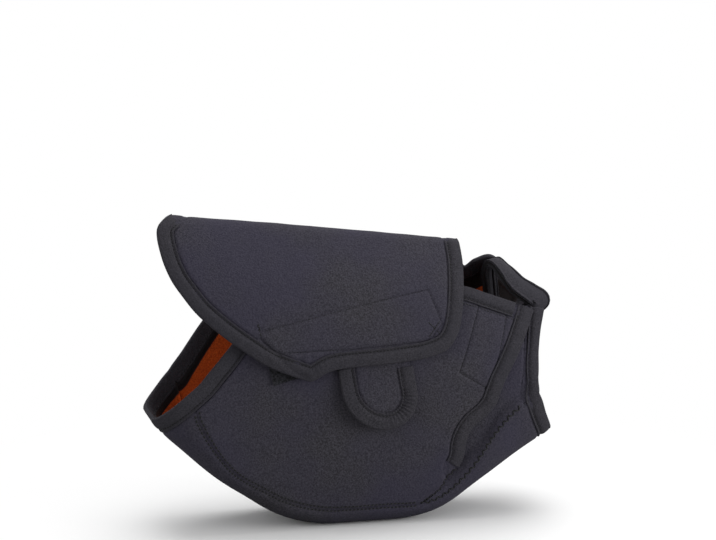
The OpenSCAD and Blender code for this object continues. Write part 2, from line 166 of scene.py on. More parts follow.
def keel_one(s):
    """Keel point and direction at a fraction of its length, from the front end to the rear end."""
    d = s * KEEL_LEN
    if d > LEFT_LEN + REST_L:
        d -= LEFT_LEN + REST_L
        a = min(d, KEEL_R * RIGHT_A) / KEEL_R
        x, z = run_go(arc_go((REST_L / 2, 0), KEEL_R, 0, a), max(d - KEEL_R * RIGHT_A, 0), a)
        return (x, z, a)
    if d > LEFT_LEN:
        return (d - LEFT_LEN - REST_L / 2, 0, 0)
    d = LEFT_LEN - d
    arc, curl = KEEL_R * LEFT_A, CURL_R * CURL_A
    a = min(d, arc) / KEEL_R
    b = a + min(max(d - arc - LEFT_L, 0), curl) / CURL_R
    q = run_go(arc_go((REST_L / 2, 0), KEEL_R, 0, a), min(max(d - arc, 0), LEFT_L), a)
    x, z = run_go(arc_go(q, CURL_R, a, b), max(d - arc - LEFT_L - curl, 0), b)
    return (-x, z, -b)


def keel(s):
    s = np.asarray(s, float)
    return np.array([keel_one(v) for v in s.ravel()]).reshape(s.shape + (3,))


def seam(s, up=0.0):
    """Length and height of the seam between a side and the gusset, or of a line that far above it."""
    k = keel(s)
    d = track([(r, 0) for r in SEAM_RISE], s)[..., 0] + up
    return np.stack([k[..., 0] - d * np.sin(k[..., 2]), k[..., 1] + d * np.cos(k[..., 2])], -1)


def patch(low, high, left, right, u, v, pull=1.0):
    """Points between four outlines, at fractions u across and v up. Pull draws the rows to the right."""
    b = (1 - (1 - u) ** pull)[..., None]
    w = v[..., None]
    zero, one = np.zeros_like(u), np.ones_like(u)
    return (mix(low(u), high(u), w) + mix(left(v), right(v), b)
            - mix(mix(low(zero), low(one), b), mix(high(zero), high(one), b), w))


# Outlines of the far panel, as lengths and heights. The wing and the shoulder are its front and rear
# edges between the opening and the fold. The shoulder has a hollow, cut out after the cloth is laid.
WING_FAR = [[-103, 186], [-119, 200], [-134, 214], [-146, 229], [-153, 245], [-155, crest(-155)]]
SHOULDER_FOOT = [[168, 174], [163, 183], [153.5, 192.5], [139.5, 203.5]]
SHOULDER_FAR = SHOULDER_FOOT + [[127, 215], [112, 220], [98, 226], [87, crest(87)]]
SHOULDER_CUT = SHOULDER_FOOT + [[124, 215], [111.5, 211.5], [101, 206], [87, crest(87)]]
FLAP_LEFT = [[-155, crest(-155)], [-163, 258], [-168.4, 252.5], [-169.5, 245], [-168.3, 236],
             [-165.6, 225.3], [-160.9, 213.8], [-153.5, 202.2], [-143, 188.2], [-128.2, 174.2],
             [-113.3, 162.2], [-101.4, 153.6], [-89.9, 145.7], [-74.1, 138], [-58.5, 132.1], [-52, 130]]
FLAP_RIGHT = [[87, crest(87)], [87, 229], [86.5, 217], [84.8, 205], [82.5, 192], [79.5, 178], [76, 166],
              [71, 156.5], [64, 149]]
FLAP_LOW = [[-52, 130], [-46.1, 132.6], [-39.2, 136.5], [-30.5, 138.7], [-16.8, 139.8], [10.2, 141],
            [24, 142], [45, 144], [64, 149]]
FRONT_FAR = [seam(0.0), [-146, 127.5], [-134.5, 146], [-119.5, 167], [-103, 186]]
REAR_FAR = [seam(1.0), [150, 122], [153.5, 143], [161.5, 160], [168, 174]]
CRANK_HOLE, CRANK_R = np.array([89.0, 82.0]), 20.0


def slopes(points, side):
    """The same outline with the length of cloth from the crest in place of the height."""
    return [[x, float(arc_len(slope_at(crest(x) - z, 0, side), side))] for x, z in points]


WING_S, SHOULDER_S, CUT_S = (slopes(line, -1) for line in (WING_FAR, SHOULDER_FAR, SHOULDER_CUT))
LEFT_S, RIGHT_S, LOW_S = (slopes(line, 1) for line in (FLAP_LEFT, FLAP_RIGHT, FLAP_LOW))


def straight(a, b):
    return lambda u: mix(np.array(a, float), np.array(b, float), np.asarray(u)[..., None])


crest_line = straight([WING_S[-1][0], 0], [SHOULDER_S[-1][0], 0])


def closest(points, lines):
    """Distance from each point to the nearest of some polylines, sampled every 0.6 mm or closer."""
    samples = []
    for line in lines:
        line = np.asarray(line, float)
        for a, b in zip(line[:-1], line[1:]):
            n = max(int(np.linalg.norm(b - a) / 0.6), 1)
            samples.extend(mix(a, b, k / n) for k in range(n))
    tree = kdtree.KDTree(len(samples))
    for i, p in enumerate(samples):
        tree.insert(p, i)
    tree.balance()
    flat = points.reshape(-1, 3)
    return np.array([tree.find(p)[2] for p in flat]).reshape(points.shape[:-1])


def soft(points, size, seed):
    """Smooth random height of about -1 to 1, with bumps of that size in mm."""
    rng = np.random.default_rng(seed)
    total = np.zeros(points.shape[:-1])
    for _ in range(9):
        way = unit(rng.normal(size=3))
        wave = 2 * math.pi / (size * rng.uniform(0.8, 1.6))
        total += np.sin(points @ way * wave + rng.uniform(0, 6.28))
    return total / 4


def valley(d, depth, width):
    """Depth of a rounded groove at a distance from its middle."""
    return -depth * np.exp(-((d / width) ** 2))


TAPE_W, STITCH_IN = 12, 9.8


def tape_sink(w):
    """How far the stitches pull a tape in, at a distance from the bound edge."""
    return valley(w - STITCH_IN, 0.7, 1.3) - 0.4 * (1 - ease(w / 9))


def sink(w):
    """The same for the cloth, which is also pressed in along the cut edge of the tape."""
    return tape_sink(w) + valley(w - TAPE_W - 0.7, 1.1, 1.3)


def pinch(w):
    """Share of the foam's thickness that is left under the tape."""
    return 0.7 + 0.3 * ease((w - 8) / 7)


def groove(d):
    """The soft dip along a seam."""
    return valley(d, 0.8, 2.2)


def sag(p):
    """The underside hangs a little fuller at the front and flatter at the rear than the plain form, the
    fold stands a little higher, and the two lower corners of the openings are pulled outwards."""
    x, z = p[..., 0], p[..., 2]
    down = -4.2 * np.exp(-(((x + 128) / 27) ** 2)) * (1 - ease((z - 75) / 40))
    down += 2.8 * ease((x - 55) / 50) * (1 - ease((z - 90) / 50)) + ease((z - 228) / 20)
    p = p + np.stack([0 * x, 0 * x, down], -1)
    for corner, push in ((FRONT_CORNER, (-2.2, 0, 1.0)), (REAR_CORNER, (4.2, 0, 0.6))):
        p = p + np.exp(-(((p - corner) ** 2).sum(-1, keepdims=True) / 15**2)) * np.array(push)
    return p


def smooth_normals(p, n):
    """Normals of a displaced grid, on the side of the old ones."""
    new = unit(np.cross(np.gradient(p, axis=1), np.gradient(p, axis=0)))
    return new * np.sign((new * n).sum(-1, keepdims=True))


def with_normal(f, u, v, hand):
    """Point and normal of a surface given by its points alone."""
    e = 0.004
    du = f(np.minimum(u + e, 1), v) - f(np.maximum(u - e, 0), v)
    dv = f(u, np.minimum(v + e, 1)) - f(u, np.maximum(v - e, 0))
    return f(u, v), hand * unit(np.cross(du, dv))


# The gusset: flat for the middle third of its width, then round up to the side seams
FLAT_PART, REST_HALF = 0.35, 20.0


def gusset_point(s, w):
    """Point at fractions of the length from the front and of the width from the near side."""
    k = keel(s)
    near = w < 0.5
    c = np.abs(2 * w - 1)
    xz = seam(s)
    edge = np.where(near[..., None], near_at(xz)[0], far_at(xz)[0])
    f = np.maximum((c - FLAT_PART) / (1 - FLAT_PART), 0) * math.pi / 2
    up = 1 - np.cos(f)
    y = np.minimum(c / FLAT_PART, 1) * REST_HALF + (np.abs(edge[..., 1]) - REST_HALF) * np.sin(f)
    return np.stack([mix(k[..., 0], edge[..., 0], up), np.where(near, -y, y),
                     mix(k[..., 1] + HALF, edge[..., 2], up)], -1)


def gusset_at(s, w):
    return with_normal(gusset_point, s, w, -1)


FRONT_CORNER, REAR_CORNER = far_at(seam(0.0))[0], near_at(seam(1.0))[0]


def rim(s, side):
    """Point and normal on a side seam, shared by the two pieces that are sewn together there."""
    base, n = cloth(seam(s), side, NEAR_OFF if side > 0 else 0.0)
    n = unit(n + gusset_at(s, np.full_like(s, 0.0 if side > 0 else 1.0))[1])
    end = np.minimum(s, 1 - s) * KEEL_LEN
    return base + n * (groove(0.0) + sink(end))[..., None], n


def mesh_object(name, points, faces, materials=(), smooth=True):
    """A new object at the origin, from points in mm."""
    mesh = bpy.data.meshes.new(name)
    mesh.from_pydata((np.asarray(points) / 1000).tolist(), [], [[int(k) for k in f] for f in faces])
    for material in materials:
        mesh.materials.append(material)
    mesh.polygons.foreach_set("use_smooth", [smooth] * len(faces))
    obj = bpy.data.objects.new(name, mesh)
    bpy.context.scene.collection.objects.link(obj)
    return obj


def turn_out(mesh, split=False):
    """Points the faces of a closed mesh outwards, and splits the many-sided ones if asked."""
    shell = bmesh.new()
    shell.from_mesh(mesh)
    if split:
        bmesh.ops.triangulate(shell, faces=[f for f in shell.faces if len(f.verts) > 4])
    bmesh.ops.recalc_face_normals(shell, faces=shell.faces)
    shell.to_mesh(mesh)
    shell.free()


def raised(p, n, lift):
    """A grid of points pushed out along its normals, with new normals."""
    p = p + n * lift[..., None]
    return p, smooth_normals(p, n)


def cloth_piece(name, p, n, t, materials, edge=None, painted_shade_band=None):
    """A sheet of foam laminate from a grid of points and normals in mm: outer knit, inner knit, rim.
    The distance to the bound edge thins the foam there and is kept for the band of painted shade inside."""
    rows, cols = p.shape[:2]
    thick = np.full((rows, cols), t) if edge is None else t * pinch(edge)
    outer = p + n * (thick / 2)[..., None]
    inner = p - n * (thick / 2)[..., None]
    m = rows * cols
    at = np.arange(m).reshape(rows, cols)
    ring = np.concatenate([at[0, :-1], at[:-1, -1], at[-1, :0:-1], at[:0:-1, 0]])
    q = [(at[j, i], at[j + 1, i], at[j + 1, i + 1], at[j, i + 1])
         for j in range(rows - 1) for i in range(cols - 1)]
    j, i = rows // 2, cols // 2
    flip = np.cross(p[j + 1, i] - p[j, i], p[j, i + 1] - p[j, i]) @ n[j, i] < 0
    faces = [f[::-1] if flip else f for f in q]
    faces += [tuple(m + k for k in (f if flip else f[::-1])) for f in q]
    wall = [(a, b, b + m, a + m) for a, b in zip(ring, np.roll(ring, -1))]
    faces += [f if flip else f[::-1] for f in wall]
    points = sag(np.concatenate([outer.reshape(-1, 3), inner.reshape(-1, 3)]))
    obj = mesh_object(name, points, faces, materials)
    mesh = obj.data
    mesh.polygons.foreach_set("material_index", np.repeat([0, 1, 2], [len(q), len(q), len(wall)]))
    if edge is not None:
        kept = (edge if painted_shade_band is None else painted_shade_band).ravel() / 1000
        layer = mesh.attributes.new("edge", "FLOAT", "POINT")
        layer.data.foreach_set("value", np.tile(kept, 2).astype(np.float32))
    mesh.update()
    return obj


def lin(hex_colour):
    """An sRGB hex colour as linear red, green, blue, alpha."""
    c = [int(hex_colour[k:k + 2], 16) / 255 for k in (1, 3, 5)]
    return [v / 12.92 if v <= 0.04045 else ((v + 0.055) / 1.055) ** 2.4 for v in c] + [1.0]


def add(owner, kind, inputs=None, **settings):
    """Adds a node to a material or world, with its settings and its links or values."""
    node = owner.node_tree.nodes.new(kind)
    for key, value in settings.items():
        setattr(node, key, value)
    for key, value in (inputs or {}).items():
        if isinstance(value, bpy.types.NodeSocket):
            owner.node_tree.links.new(value, node.inputs[key])
        else:
            node.inputs[key].default_value = value
    return node


def new_material(name):
    material = bpy.data.materials.new(name)
    material.use_nodes = True
    material.node_tree.nodes.clear()
    return material


def finish_material(material, colour, bump, roughness, sheen, sheen_tint, distance):
    """The shader that all cloth, tape and thread share: rough, with a bloom of loose fibres."""
    relief = add(material, "ShaderNodeBump", {"Height": bump, "Distance": distance, "Strength": 1.0})
    shader = add(material, "ShaderNodeBsdfPrincipled", {
        "Base Color": colour, "Roughness": roughness, "Sheen Weight": sheen, "Sheen Roughness": 0.5,
        "Sheen Tint": lin(sheen_tint), "Specular IOR Level": 0.25, "Normal": relief.outputs["Normal"]})
    add(material, "ShaderNodeOutputMaterial", {"Surface": shader.outputs["BSDF"]})
    return material


def knit(name, dark, light, patchy, sheen, speck=1100.0, distance=0.00035, painted_shade_band=None):
    """Brushed polyester jersey: a melange of dark and lighter yarn, loops about 1 mm apart (real ones
    are 0.5 mm, too fine for the picture). A painted shade band is a band of that colour along the bound
    edges, drawn as the shade inside the openings."""
    m = new_material(name)
    place = add(m, "ShaderNodeTexCoord").outputs["Object"]
    loops = add(m, "ShaderNodeTexNoise", {"Vector": place, "Scale": speck, "Detail": 2.0, "Roughness": 0.6})
    yarn = add(m, "ShaderNodeTexNoise", {"Vector": place, "Scale": speck * 0.62, "Detail": 1.0})
    cloud = add(m, "ShaderNodeTexNoise", {"Vector": place, "Scale": 14.0, "Detail": 2.0})
    grain = add(m, "ShaderNodeMath", {0: loops.outputs["Fac"], 1: yarn.outputs["Fac"]}, operation="ADD")
    ramp = add(m, "ShaderNodeMapRange", {"Value": grain.outputs[0], "From Min": 0.72, "From Max": 1.28})
    base = add(m, "ShaderNodeMix", {"Factor": ramp.outputs["Result"], 6: lin(dark), 7: lin(light)},
               data_type="RGBA")
    tone = add(m, "ShaderNodeMapRange", {"Value": cloud.outputs["Fac"], "From Min": 0.35, "From Max": 0.65,
                                         "To Min": 0.0, "To Max": 0.5})
    colour = add(m, "ShaderNodeMix", {"Factor": tone.outputs["Result"], 6: base.outputs[2], 7: lin(patchy)},
                 data_type="RGBA")
    # Painted shade: within about 17 mm of a bound edge the lining is drawn near-black, as the shade inside
    # the opening
    if painted_shade_band:
        edge = add(m, "ShaderNodeAttribute", attribute_name="edge").outputs["Fac"]
        inside = add(m, "ShaderNodeMapRange", {"Value": edge, "From Min": 0.0165, "From Max": 0.0175})
        colour = add(m, "ShaderNodeMix", {"Factor": inside.outputs["Result"], 6: lin(painted_shade_band),
                                          7: colour.outputs[2]}, data_type="RGBA")
    return finish_material(m, colour.outputs[2], grain.outputs[0], 0.92, sheen, light, distance)


# Charcoal outside with a soft bloom, warm orange inside, with a near-black band of painted shade round each
# opening
jersey = knit("brushed charcoal polyester jersey", "#232226", "#403e45", "#312e41", 0.25)
lining = knit("orange polyester knit lining", "#98380c", "#c4561d", "#a8430f", 0.1, painted_shade_band="#121214")
foam_edge = knit("black cut foam edge", "#141416", "#222225", "#19191c", 0.0)
CLOTH = [jersey, lining, foam_edge]

quick_step = 1


def marks(n, a=0.0, b=1.0):
    return np.linspace(a, b, max(n // quick_step, 4) + 1)


def far_xz(u, v):
    return patch(seam, straight(FRONT_FAR[-1], REAR_FAR[-1]), lambda t: track(FRONT_FAR, t),
                 lambda t: track(REAR_FAR, t), u, v)


def wing_xs(u, v):
    return patch(straight(WING_S[0], SHOULDER_S[0]), crest_line, lambda t: track(WING_S, t),
                 lambda t: track(SHOULDER_S, t), u, v)


def flap_xs(u, v):
    return patch(crest_line, lambda t: track(LOW_S, t), lambda t: track(LEFT_S, t),
                 lambda t: track(RIGHT_S, t), u, v)


def pair(xs, side):
    """Point and normal at a length and a length of cloth from the crest."""
    return on_slope(xs[..., 0], arc_angle(xs[..., 1], side), side, 0.0)


def stack(*parts):
    """Joins pairs of points and normals into one pair."""
    return tuple(np.concatenate([part[k] for part in parts]) for k in (0, 1))


wing_v, columns = marks(56), marks(208)
flap_left_edge = [pair(track(WING_S, wing_v), -1), pair(track(LEFT_S, marks(110)), 1)]
flap_low_edge = [pair(track(LOW_S, marks(90)), 1)]
flap_right_edge = [pair(track(RIGHT_S, marks(80)[::-1]), 1), pair(track(CUT_S, wing_v[::-1]), -1)]
flap_edge = stack(*flap_left_edge, *flap_low_edge, *flap_right_edge)
front_far_edge = far_at(track(FRONT_FAR, marks(60)))
rear_far_edge = far_at(track(REAR_FAR, marks(60)))
hole_a = np.linspace(0, 2 * math.pi, 97)
hole_edge = far_at(CRANK_HOLE + CRANK_R * np.stack([np.cos(hole_a), np.sin(hole_a)], -1))
far_seam = far_at(seam(marks(200)))
# The stitched outline of the hook patch on the flap
HOOK_OUTLINE = [[-92.8, 170.5], [-40, 181], [10, 190], [52.8, 196.4], [61.7, 169.3], [49, 156.6],
                [-20, 153.5], [-70.4, 152.8]]


def polyline(points, at, step=1.0):
    """Surface points along straight pieces between corners."""
    out = []
    for a, b in zip(points[:-1], points[1:]):
        a, b = np.array(a, float), np.array(b, float)
        n = max(int(np.linalg.norm(b - a) / step), 1)
        out.extend(mix(a, b, k / n) for k in range(n))
    out.append(np.array(points[-1], float))
    return at(np.array(out))


hook_stitch = polyline(HOOK_OUTLINE, flap_at)
# The cloth is folded over the tape at the low corner, along a crease from the end of the patch
hook_crease = polyline([[-92.5, 165.6], [-87, 159.8], [-80.9, 153.3], [-75.1, 146.8], [-70, 141.3],
                        [-63.8, 136.1], [-54, 130]], flap_at)


def far_lift(p):
    """Height of the far panel and flap over the plain form, and the distance to a bound edge."""
    edge = closest(p, [flap_edge[0], front_far_edge[0], rear_far_edge[0]])
    lift = sink(edge) + valley(closest(p, [hook_stitch[0]]), 1.2, 1.2)
    lift += valley(closest(p, [hook_crease[0]]), 2.2, 1.7) + groove(closest(p, [far_seam[0]]))
    # Gathers fan out from the low corner
    out = p - flap_at(np.array([-56.0, 131.0]))[0]
    gather = np.sin(13 * np.arctan2(out[..., 2], out[..., 0]))
    lift += 0.5 * gather * np.exp(-(((np.linalg.norm(out, axis=-1) - 17) / 6) ** 2)) * ease(out[..., 2] / 4)
    lift += 0.5 * soft(p, 90, 3) * ease(edge / 30) + 0.16 * soft(p, 22, 4) * ease(edge / 12)
    return lift, edge


u, v = np.meshgrid(columns, marks(32))
far_part = far_at(far_xz(u, v))
u, v = np.meshgrid(columns, wing_v[1:])
wing_part = pair(wing_xs(u, v), -1)
u, v = np.meshgrid(columns, marks(126)[1:])
flap_part = pair(flap_xs(u, v), 1)
p, n = stack(far_part, wing_part, flap_part)
lift, edge_d = far_lift(p)
p = p + n * lift[..., None]
# The foam spreads the fold, so the tight round eases into the slope
fold_row = np.arange(len(p)) - (len(far_part[0]) + len(wing_part[0]) + 4 / quick_step)
loose = np.exp(-((fold_row / (9 / quick_step)) ** 2))[:, None] * ease(edge_d / 16)
for _ in range(44 // quick_step):
    p[1:-1] += (0.5 * loose[1:-1])[..., None] * ((p[:-2] + p[2:]) / 2 - p[1:-1])
n = smooth_normals(p, n)
p[0], n[0] = rim(columns, -1)
# The band of painted shade inside the far panel is 9 mm wider towards the rear
far_panel = cloth_piece("far_panel_and_flap", p, n, 2 * HALF, CLOTH, edge_d,
                        edge_d - 9 * ease((p[..., 0] - 30) / 40))
# The round hole for the crank, and the hollow cut out of the shoulder behind the strap
bpy.ops.object.select_all(action="DESELECT")
bpy.ops.mesh.primitive_cylinder_add(vertices=96, radius=CRANK_R / 1000, depth=0.06,
                                    location=(CRANK_HOLE[0] / 1000, 0.05, (CRANK_HOLE[1] + HALF) / 1000),
                                    rotation=(math.pi / 2, 0, 0))
hole_cutter = bpy.context.object
hollow = [(q[0], q[2]) for q in pair(track(CUT_S, np.linspace(0.42, 0.955, 40)), -1)[0]]
hollow += [(hollow[-1][0], 255), (hollow[0][0] + 8, 255)]
count = len(hollow)
hollow_cutter = mesh_object("hollow", [(x, y, z) for y in (3, 80) for x, z in hollow], [
    range(count), range(2 * count - 1, count - 1, -1),
    *((k, k + count, (k + 1) % count + count, (k + 1) % count) for k in range(count))], smooth=False)
turn_out(hollow_cutter.data)
for cutter in (hole_cutter, hollow_cutter):
    cut = far_panel.modifiers.new("cut", "BOOLEAN")
    cut.operation, cut.solver, cut.object = "DIFFERENCE", "EXACT", cutter
    bpy.context.view_layer.objects.active = far_panel
    bpy.ops.object.modifier_apply(modifier=cut.name)
    bpy.data.objects.remove(cutter)
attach(far_panel, "root")
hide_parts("far_panel")

# Near panel: the front and middle of the side that closes, cut from the same laminate. Its rear edge
# is the S of the crank slit, its top edge is hemmed, and it is sewn to the gusset below.
SEAM_JOIN = 0.655
FRONT_NEAR = [seam(0.0), [-141.5, 127.5], [-132.5, 138], [-120.5, 151.5], [-108.5, 166], [-92, 192]]
TOP_NEAR = [[-92, 192], [-30, 199], [38, 201], [84, 196], [112, 187], [148, 174]]
SLIT_EDGE = [seam(SEAM_JOIN), [61, 27], [68, 37], [77, 45], [81.5, 55], [82.5, 64], [85, 72], [91, 80],
             [101, 87], [109, 96], [113, 106], [117, 116], [123, 127], [130, 139], [137, 152], [143, 164],
             [148, 174]]
# Below this share of the slit edge the two near panels are sewn edge to edge
SLIT_START = 3 / 16
# The stitched outline of the loop patch inside the tongue
PATCH_OUTLINE = [[100, 181], [78, 127], [105, 109], [124, 172], [100, 181]]


def near_xz(u, v):
    return patch(lambda t: seam(t * SEAM_JOIN), lambda t: track(TOP_NEAR, t),
                 lambda t: track(FRONT_NEAR, t), lambda t: track(SLIT_EDGE, t), u, v)


front_near_edge = near_at(track(FRONT_NEAR, marks(60)))
top_edge = near_at(track(TOP_NEAR, marks(140)))
slit_edge = near_at(track(SLIT_EDGE, marks(150, SLIT_START, 1)))
butt_edge = near_at(track(SLIT_EDGE, marks(30, 0, SLIT_START)))
near_seam = near_at(seam(marks(180)))
patch_stitch = polyline(PATCH_OUTLINE, near_at)


def near_lift(p):
    edge = closest(p, [front_near_edge[0], top_edge[0], slit_edge[0]])
    lift = sink(edge) + groove(closest(p, [near_seam[0], butt_edge[0]]))
    lift += valley(closest(p, [patch_stitch[0]]), 1.2, 1.2)
    lift += 0.6 * soft(p, 80, 11) * ease(edge / 30) + 0.16 * soft(p, 20, 12) * ease(edge / 12)
    return lift, edge


u, v = np.meshgrid(marks(200), marks(190))
p, n = near_at(near_xz(u, v))
lift, edge_d = near_lift(p)
p, n = raised(p, n, lift)
p[0], n[0] = rim(marks(200) * SEAM_JOIN, 1)
near_panel = cloth_piece("near_side_panel", p, n, 2 * HALF, CLOTH, edge_d)
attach(near_panel, "root")
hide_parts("near_panel")

# Rear side panel: second piece of the near side. It dips under the tongue of the near panel, so that
# the slit can close over it, and ends at the rear opening.
REAR_START, REAR_LAY = SEAM_JOIN + 0.005, 6.6
UNDER_EDGE = [seam(REAR_START), [63, 27], [70, 37], [77, 47], [79, 58], [78, 70], [77, 82], [78, 94],
              [80, 108], [83, 127], [87, 148], [93, 168], [99, 184]]
REAR_NEAR = [seam(1.0), [150, 119], [152, 140], [155.5, 157], [161, 173]]


def rear_xz(u, v):
    return patch(lambda t: seam(mix(REAR_START, 1, t)), straight(UNDER_EDGE[-1], REAR_NEAR[-1]),
                 lambda t: track(UNDER_EDGE, t), lambda t: track(REAR_NEAR, t), u, v, 4.0)


def rear_point(u, v):
    return near_at(rear_xz(u, v), REAR_LAY * ease(v / 0.24))[0]


def rear_at(u, v):
    return with_normal(rear_point, u, v, 1)


rear_v = marks(80)
rear_edge = rear_at(np.ones_like(rear_v), rear_v)
rear_span = np.linalg.norm(rear_edge[0] - rear_point(np.zeros_like(rear_v), rear_v), axis=-1)


def rear_lift(p):
    edge = closest(p, [rear_edge[0]])
    sewn = closest(p, [near_seam[0]])
    return sink(edge) + groove(sewn) + 0.35 * soft(p, 40, 21) * ease(edge / 20) * ease(sewn / 10), edge


u, v = np.meshgrid(marks(90), marks(110))
p, n = rear_at(u, v)
lift, edge_d = rear_lift(p)
p, n = raised(p, n, lift)
p[0], n[0] = rim(mix(REAR_START, 1, marks(90)), 1)
rear_panel = cloth_piece("rear_side_panel_cloth", p, n, 2 * HALF, CLOTH, edge_d)
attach(rear_panel, "root")
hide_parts("rear_side_panel")

# Bottom gusset: a long strip that curves up to both openings and joins the two sides. It is sewn
# inside out, so the seams lie in soft grooves. The bag rests on its middle.
gusset_w = np.linspace(0, 1, 81)
gusset_ends = [gusset_point(np.full_like(gusset_w, end), gusset_w) for end in (0.0, 1.0)]


def gusset_lift(p):
    edge = closest(p, gusset_ends)
    sewn = closest(p, [near_seam[0], far_seam[0]])
    rest = 0.3 * soft(p, 60, 31) * ease(edge / 20) * ease(sewn / 12) * ease((p[..., 2] - 8) / 10)
    return sink(edge) * ease(sewn / 3) + groove(sewn) + rest, edge


u, v = np.meshgrid(marks(200), marks(60))
p, n = gusset_at(u, v)
lift, edge_d = gusset_lift(p)
p, n = raised(p, n, lift)
p[0], n[0] = rim(marks(200), 1)
p[-1], n[-1] = rim(marks(200), -1)
gusset = cloth_piece("bottom_gusset_cloth", p, n, 2 * HALF, CLOTH, edge_d)
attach(gusset, "root")
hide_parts("bottom_gusset")

# Edge tapes: a strip of knit tape folded round each raw edge and sewn through with one row of
# stitches. The row pulls the tape into a crease just inside its cut edge and puckers it a little.
tape_knit = knit("folded polyester knit tape", "#222125", "#3b393f", "#2b2a31", 0.2, 1300.0, 0.0003)


def steady(segments):
    """Joins path segments of (points, normals, surface) and drops stations closer than 0.4 mm."""
    ps = np.concatenate([s[0] for s in segments])
    ns = np.concatenate([s[1] for s in segments])
    who = np.concatenate([np.full(len(s[0]), k) for k, s in enumerate(segments)])
    keep = [0]
    for k in range(1, len(ps)):
        if np.linalg.norm(ps[k] - ps[keep[-1]]) > 0.4:
            keep.append(k)
    return ps[keep], ns[keep], who[keep]


def tape(name, segments, hand, width, t, seed, loop=False, pucker=None, plump=1.0, sunk=tape_sink,
         thin=pinch, ribs=False, dent=None):
    """A folded tape along a path of segments, with its width on each face and the cloth's thickness t.
    Hand turns it to the cloth's side of the path. Returns the object, and the rows of its stitches
    outside and inside."""
    p, n, who = steady(segments)
    s = np.concatenate([[0], np.cumsum(np.linalg.norm(np.diff(p, axis=0), axis=1))])
    joins = s[1:][np.diff(who) != 0]
    near_join = sum((np.exp(-(((s - j) / 8) ** 2)) for j in joins), np.zeros(len(s)))
    near_join = near_join[1:-1, None].clip(0, 1)

    def settle(q, rounds):
        """Evens out the corners where two panels meet."""
        for _ in range(rounds):
            q[1:-1] += 0.5 * near_join * ((q[:-2] + q[2:]) / 2 - q[1:-1])
        return q

    p, n = settle(p, 8), unit(settle(n, 12))
    go = unit(np.roll(p, -1, 0) - np.roll(p, 1, 0)) if loop else unit(np.gradient(p, axis=0))
    for _ in range(3):
        go[1:-1] = unit(go[:-2] + 2 * go[1:-1] + go[2:])
    into = hand * unit(np.cross(n, go))
    rng = np.random.default_rng(seed)
    amount = np.full(len(s), 0.2) if pucker is None else pucker(s / s[-1])
    swell = 1 + 0.12 * np.sin(s / 6.3 + rng.uniform(0, 6)) + 0.09 * np.sin(s / 2.7 + rng.uniform(0, 6))
    drift = 1.3 * np.sin(s / 11 + rng.uniform(0, 6))
    wave = amount * (np.sin(2 * math.pi * s / 4.1 + drift) + 0.4 * np.sin(s / 2.9))

    def leg(w):
        """The cloth's surface all along the tape, at a distance from its edge."""
        q, m = np.empty_like(p), np.empty_like(p)
        for k, segment in enumerate(segments):
            at = who == k
            if at.any():
                q[at], m[at] = segment[2](p[at], into[at], w)
        return settle(q, 24 if w < 3 else 60), unit(settle(m, 60))

    half = t / 2
    crease = width - 2.2 if width > 10 else width - 1.8
    # Section of one leg, as distances from the edge and heights over the cloth
    outer = [(width, -1.2), (width, 0.35), (width - 0.6, 0.7), (crease + 0.8, 0.5), (crease + 0.2, 0.12),
             (crease - 0.3, 0.12), (crease - 0.9, 0.6), (crease - 2.2, 1.05 * plump),
             (width * 0.42, 1.3 * plump), (width * 0.2, 1.2 * plump), (width * 0.06, 0.85 * plump)]
    rings = []
    for w, h in outer:
        q, m = leg(w)
        weight = ease(w / 3) if ribs else math.exp(-(((w - crease + 2.6) / 3.0) ** 2))
        q = q + m * (half * thin(w) + h * swell + sunk(w) + wave * weight)[:, None]
        if dent is not None:
            q += m * valley(closest(q, [dent]), 2.4, 1.9)[:, None]
        rings.append(q)
    round_r = half * thin(0) + 0.9 * plump
    for a in np.radians([68, 42, 14, -14, -42, -68]):
        rings.append(p - into * (math.cos(a) * 1.6) + n * (math.sin(a) * round_r + sunk(0)))
    for w, h in outer[::-1]:
        q, m = leg(w)
        rings.append(q - m * (half * thin(w) + h * 0.85 * swell - sunk(w))[:, None])
    for w in (width - 0.6, width * 0.5, 0.6):
        q, m = leg(w)
        rings.append(q - m * (half * 0.45 - sunk(w)))
    for w in (0.6, width * 0.5, width - 0.6):
        q, m = leg(w)
        rings.append(q + m * (half * 0.45 + sunk(w)))
    ring = np.array(rings)
    count, length = ring.shape[:2]
    faces = []
    for i in range(length if loop else length - 1):
        for k in range(count):
            here, ahead, up = i * count, (i + 1) % length * count, (k + 1) % count
            faces.append((here + k, here + up, ahead + up, ahead + k))
    if not loop:
        faces += [range(count)[::-1], range((length - 1) * count, length * count)]
    obj = mesh_object(name, sag(ring.transpose(1, 0, 2).reshape(-1, 3)), faces, [tape_knit])
    turn_out(obj.data, split=True)
    q, m = leg(crease)
    rise = half * thin(crease) + 0.2
    return obj, (q + m * (rise + sunk(crease)), m), (q - m * (rise - sunk(crease)), -m)


def by_xz(at):
    """Surface under a point that lies w inside the edge, found by its length and height."""
    return lambda p, into, w: at((p + into * w)[:, [0, 2]] - np.array([0, HALF]))


def by_arc(side):
    """The same over the tight fold, found by the length of arc from the crest."""
    def surface(p, into, w):
        x, drop = p[:, 0], crest(p[:, 0]) - (p[:, 2] - HALF)
        a = slope_at(np.maximum(drop, 0), 0.0, side)
        along = np.stack([np.ones_like(x), np.zeros_like(x), np.full_like(x, CREST_SLOPE)], -1)
        down = np.stack([np.zeros_like(x), -side * np.cos(a), -np.sin(a)], -1)
        across = (along * down).sum(-1)
        g, f, e = (along**2).sum(-1), (into * along).sum(-1), (into * down).sum(-1)
        move_x, move_s = (f - across * e) / (g - across**2), (g * e - across * f) / (g - across**2)
        arc = arc_len(a, side) + move_s * w
        flip = np.where(arc < 0, -side, side)
        return on_slope(x + move_x * w, arc_angle(np.abs(arc), flip), flip, 0.0)
    return surface


